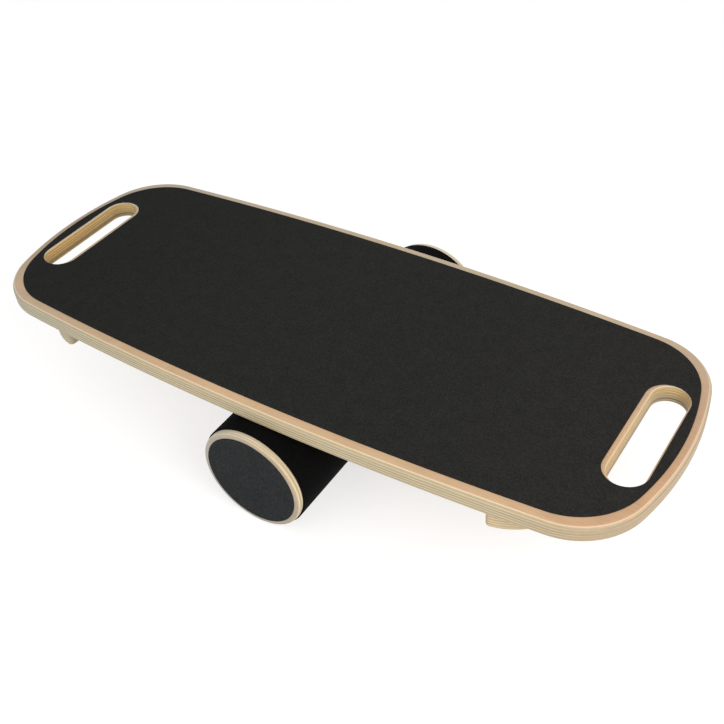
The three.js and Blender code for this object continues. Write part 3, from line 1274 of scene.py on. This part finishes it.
@dataclass(frozen=True)
class Screw:
    """A countersunk wood screw that points up, with a cross recess in its head.

    The recess's slope is a share of its width, and a higher thread_power makes a sharper thread.
    """

    head_radius: float = 4 * MM
    shank_radius: float = 2 * MM
    land: float = 0.4 * MM
    bevel: float = 0.1 * MM
    cone: float = 2 * MM
    point: float = 5 * MM
    recess_reach: float = 2.3 * MM
    recess_width: float = 1.0 * MM
    recess_depth: float = 1.6 * MM
    recess_slope: float = 1 / 3
    face_rings: int = 26
    thread_pitch: float = 1.8 * MM
    thread_height: float = 0.22 * MM
    thread_power: int = 3
    thread_rows: int = 90
    steps: int = 64

    def surface(self, node: str) -> Surface:
        """The screw in its node's place.

        The head's face is a polar grid, raised into the head inside a cross of two bars whose
        depth falls off smoothly at their sides and ends. The shank's radius swells with a cosine of
        the turn less the height over the pitch, which winds one thread round it.

        Args:
            node: The frame's node for the screw.

        Returns:
            The closed surface.
        """
        low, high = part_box(node)
        length = high.z - low.z
        angles = np.linspace(0, FULL_TURN, self.steps, endpoint=False)[None, :]
        face_radius = np.linspace(0, self.head_radius - self.bevel, self.face_rings)[:, None]
        depth = self.recess(face_radius * np.cos(angles), face_radius * np.sin(angles))
        neck = self.land + self.cone
        start, stop = neck + self.thread_pitch / 2, length - self.point
        height = np.linspace(start, stop, self.thread_rows)[:, None]
        crest = (1 + np.cos(angles - FULL_TURN * height / self.thread_pitch)) / 2
        thread = self.shank_radius - self.thread_height * (1 - crest**self.thread_power)
        body = np.concatenate([
            self.rings(angles, face_radius, depth),
            self.rings(angles, self.head_radius, self.bevel),
            self.rings(angles, self.head_radius, self.land),
            self.rings(angles, self.shank_radius, neck),
            self.rings(angles, thread, height),
            self.rings(angles, 0.0, length),
        ])
        return welded([grid_surface(body)]).moved((low.x + high.x) / 2, (low.y + high.y) / 2, low.z)

    def rings(self, angles: np.ndarray, radius: Any, level: Any) -> np.ndarray:
        """Points at a radius times the cosine and the sine of the angles, and at a level."""
        return np.stack(np.broadcast_arrays(radius * np.cos(angles), radius * np.sin(angles), level), axis=2)

    def ramp(self, distance: np.ndarray, limit: float) -> np.ndarray:
        """A smooth step: 0 from the limit on, rising inwards to 1 over the recess's slope."""
        share = np.clip((limit - np.abs(distance)) / (self.recess_width * self.recess_slope), 0, 1)
        return share * share * (3 - 2 * share)

    def recess(self, x: np.ndarray, y: np.ndarray) -> np.ndarray:
        """The cross recess: the greater of two bars, each a product of ramps along and across it.

        Args:
            x: The X of points on the head's face.
            y: Their Y.

        Returns:
            How far the face is raised into the head at each point.
        """
        half = self.recess_width / 2
        bar = self.ramp(x, self.recess_reach) * self.ramp(y, half)
        other = self.ramp(y, self.recess_reach) * self.ramp(x, half)
        return self.recess_depth * np.maximum(bar, other)


@dataclass(frozen=True)
class Roller:
    """The loose roller: a tube in an anti-slip sleeve, closed by plywood discs with black facings.

    The tube and the plug discs inside it are the frame's own nodes.
    """

    sleeve_edge: float = 0.35 * MM
    disc_rim_radius: float = 2.5 * MM
    facing_rim_radius: float = 0.22 * MM
    rim_steps: int = 9
    steps: int = 240
    ends: tuple[tuple[str, float], ...] = (("front", -1.0), ("back", 1.0))
    # Painted light on the end discs: a cool painted reflection towards the left, painted shade towards the
    # bottom, and a paler painted back light on the far disc
    disc_painted_light: tuple[Tint, ...] = (
        Tint(Axis.X, 58 * MM, -44 * MM, (0.92, 1.05, 1.3)),
        Tint(Axis.Z, 103.5 * MM, 1.5 * MM, (0.85, 0.92, 1.05)),
        Tint(Axis.Y, -100 * MM, 170 * MM, (1.08, 1.13, 1.24)),
    )
    # The sleeve is black, and its grit is painted darker than the sheet's to paint the shade it sits in under
    # the deck
    shaded_sleeve_black: Grit = Grit(
        "grip_sleeve_black_painted_shade", dark=(0.0015, 0.0015, 0.0015), light=(0.004, 0.004, 0.004),
        grains_per_metre=900.0, specular=0.05,
    )
    facing_black: Grit = Grit(
        "disc_facing_black", dark=(0.0065, 0.0075, 0.0082), light=(0.0365, 0.039, 0.04),
        grains_per_metre=1000.0, specular=0.12,
    )

    def turned_about_axis(self, profile: Sequence[tuple[float, float]]) -> Surface:
        """A profile turned about the roller's axis, which is the middle of the sleeve's box."""
        low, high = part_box("roller_sleeve")
        return turned(profile, self.steps).moved((low.x + high.x) / 2, 0, (low.z + high.z) / 2)

    def sleeve(self) -> Surface:
        """The sleeve: a ring section with eased outer corners, turned about the axis.

        Returns:
            The sleeve's surface, in its place.
        """
        low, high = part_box("roller_sleeve")
        tube_low, tube_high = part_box("roller_tube")
        outer = (high.x - low.x) / 2
        inner = (tube_high.x - tube_low.x) / 2 + WELD_STEP
        ease = self.sleeve_edge
        angles = np.linspace(0, QUARTER_TURN, self.rim_steps)
        rise, run = ease * np.sin(angles), ease * np.cos(angles)
        front = np.column_stack([outer - ease + rise, low.y + ease - run])
        back = np.column_stack([outer - ease + rise[::-1], high.y - ease + run[::-1]])
        return self.turned_about_axis([(inner, low.y), *front, *back, (inner, high.y), (inner, low.y)])

    def disc(self, node: str, side: float, rim: float) -> Surface:
        """A disc whose outer face has a rounded rim.

        Args:
            node: The frame's node for the disc.
            side: 1 for the back end of the roller and -1 for the front end.
            rim: Radius of the rim's rounding.

        Returns:
            The disc's surface, in its place.
        """
        low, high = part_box(node)
        radius = (high.x - low.x) / 2
        inner, outer = (low.y, high.y) if side > 0 else (high.y, low.y)
        angles = np.linspace(0, QUARTER_TURN, self.rim_steps)
        rounding = np.column_stack([
            radius - rim * (1 - np.cos(angles)), outer - side * rim * (1 - np.sin(angles))])
        flat = radius - rim - FACE_BORDER
        return self.turned_about_axis([(0.0, inner), (radius, inner), *rounding, (flat, outer), (0.0, outer)])

    def build(self) -> None:
        """Makes and dresses the sleeve, the end discs and their facings."""
        black = self.shaded_sleeve_black.material()
        dress("roller_cover", self.sleeve(), black, "roller_sleeve", "roller")
        black = self.facing_black.material()
        for label, side in self.ends:
            node = f"{label}_end_disc"
            plywood = Plywood.filling(
                f"{label}_disc_plywood", node, Axis.Y, side, plies=5, veneer=0.8, cross_grain=Axis.Z,
                face=(0.56, 0.44, 0.295), face_deep=(0.47, 0.36, 0.24), pale=(0.86, 0.7, 0.43),
                # The rim line is partly the veneer's pale edge and partly a painted highlight; the tints are
                # painted light
                dark=(0.55, 0.44, 0.27), rim_line=(0.7, 0.54, 0.35), tints=self.disc_painted_light,
            ).material()
            disc = self.disc(node, side, self.disc_rim_radius)
            dress(f"{label}_disc", disc, plywood, node, "roller")
            node = f"{label}_end_facing"
            facing = self.disc(node, side, self.facing_rim_radius)
            dress(f"{label}_facing", facing, black, node, "roller")

    def finish_inner_nodes(self) -> None:
        """Gives the tube and the plug discs, which stay the frame's own, their materials."""
        finishes = {"roller_tube": TubeBoard().material()}
        for label, side in self.ends:
            node = f"{label}_plug_disc"
            finishes[node] = Plywood.filling(
                f"{label}_plug_plywood", node, Axis.Y, side, plies=9, roughness=0.7,
                long_grain=Axis.Z, cross_grain=Axis.X,
            ).material()
        for node, finish in finishes.items():
            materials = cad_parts[node].data.materials
            materials.clear()
            materials.append(finish)
            log.info("%s: %s", node, finish.name)


@dataclass(frozen=True)
class Lamp:
    """A square area lamp: where it stands and its side in metres, and its power in watts."""

    name: str
    place: tuple[float, float, float]
    size: float
    power: float

    def build(self, target: Vector) -> None:
        """Adds the lamp.

        Args:
            target: The point that it faces.
        """
        data = bpy.data.lights.new(self.name, "AREA")
        data.size = self.size
        data.energy = self.power
        lamp = bpy.data.objects.new(self.name, data)
        lamp.location = self.place
        lamp.rotation_euler = (target - lamp.location).to_track_quat("-Z", "Y").to_euler()
        bpy.context.scene.collection.objects.link(lamp)


@dataclass(frozen=True)
class Studio:
    """A pale floor, soft light at a plain level and the camera at the photograph's angle.

    The camera looks at a point on its axis, from a distance, with its azimuth counted from -Y
    towards +X. Its picture is 724 by 724 pixels, and focal_pixels is the lens in those pixels.
    """

    target: tuple[float, float, float] = (0.0116, 0.0206, 0.0575)
    distance: float = 1.1038
    azimuth: float = math.radians(35.92)
    elevation: float = math.radians(40.87)
    roll: float = math.radians(4.62)
    focal_pixels: float = 1039.0
    frame_pixels: float = 724.0
    sensor: float = 36.0
    nearest: float = 0.01
    floor_reach: float = 4.0
    floor_roughness: float = 0.9
    floor_colour: Colour = (0.9, 0.9, 0.9)
    seen_floor_colour: Colour = (0.45, 0.45, 0.45)
    floor_lift: float = 0.68
    world_strength: float = 0.62
    lamps: tuple[Lamp, ...] = (
        Lamp("key_lamp", place=(1.3, -0.6, 1.0), size=0.8, power=12.5),
        Lamp("fill_lamp", place=(-0.6, -1.6, 1.2), size=1.4, power=6.5),
    )

    def camera(self) -> None:
        """Makes the scene's camera, from its backward, right and up directions."""
        data = bpy.data.cameras.new("photo_camera")
        data.sensor_width = self.sensor
        data.lens = self.sensor * self.focal_pixels / self.frame_pixels
        data.clip_start = self.nearest
        backward = Vector((
            math.cos(self.elevation) * math.sin(self.azimuth),
            -math.cos(self.elevation) * math.cos(self.azimuth),
            math.sin(self.elevation),
        ))
        level_right = Vector((0, 0, 1)).cross(backward).normalized()
        level_up = backward.cross(level_right)
        right = level_right * math.cos(self.roll) - level_up * math.sin(self.roll)
        up = level_right * math.sin(self.roll) + level_up * math.cos(self.roll)
        place = Matrix((right, up, backward)).transposed().to_4x4()
        place.translation = Vector(self.target) + backward * self.distance
        camera = bpy.data.objects.new("photo_camera", data)
        camera.matrix_world = place
        bpy.context.scene.collection.objects.link(camera)
        bpy.context.scene.camera = camera

    def floor(self) -> None:
        """Makes the plain floor under the roller, which is white where it is seen and keeps its shadow."""
        reach = self.floor_reach
        corners = np.array([(-reach, -reach, 0), (reach, -reach, 0), (reach, reach, 0), (-reach, reach, 0)])
        mesh = bpy.data.meshes.new("floor")
        mesh.from_pydata(corners, [], [(0, 1, 2, 3)])
        floor = bpy.data.objects.new("floor", mesh)
        bpy.context.scene.collection.objects.link(floor)
        material, nodes, shader = new_material("pale_floor")
        seen = nodes.seen()
        nodes.feed(shader, {
            "Base Color": nodes.mix(seen, self.floor_colour, self.seen_floor_colour),
            "Roughness": self.floor_roughness,
            "Specular IOR Level": 0.0,
            "Emission Color": WHITE,
            "Emission Strength": nodes.fit(seen, 0.0, self.floor_lift),
        })
        mesh.materials.append(material)

    def world(self) -> None:
        """Lights the object evenly from all round, and shows white behind it."""
        world = bpy.data.worlds.new("studio_world")
        world.use_nodes = True
        bpy.context.scene.world = world
        nodes = Nodes(world.node_tree)
        strength = nodes.fit(nodes.seen(), self.world_strength, 1.0)
        nodes.feed(world.node_tree.nodes["Background"].inputs, {"Color": WHITE, "Strength": strength})

    def build(self) -> None:
        """Makes the camera, the floor, the lamps and the world."""
        self.camera()
        self.floor()
        for lamp in self.lamps:
            lamp.build(Vector(self.target))
        self.world()
        bpy.context.scene.view_settings.view_transform = "Standard"


def main() -> None:
    """Builds the studio, the board, the stoppers and the roller in order."""
    logging.basicConfig(level=logging.INFO, format="%(name)s %(message)s")
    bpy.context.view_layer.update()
    Studio().build()
    Board().build()
    plywood = Stopper.plywood()
    zinc = ZincPlate().material()
    for side in Side:
        Stopper(side).build(plywood, zinc)
    roller = Roller()
    roller.build()
    roller.finish_inner_nodes()
    bpy.context.view_layer.update()


if __name__ == "__main__":
    main()
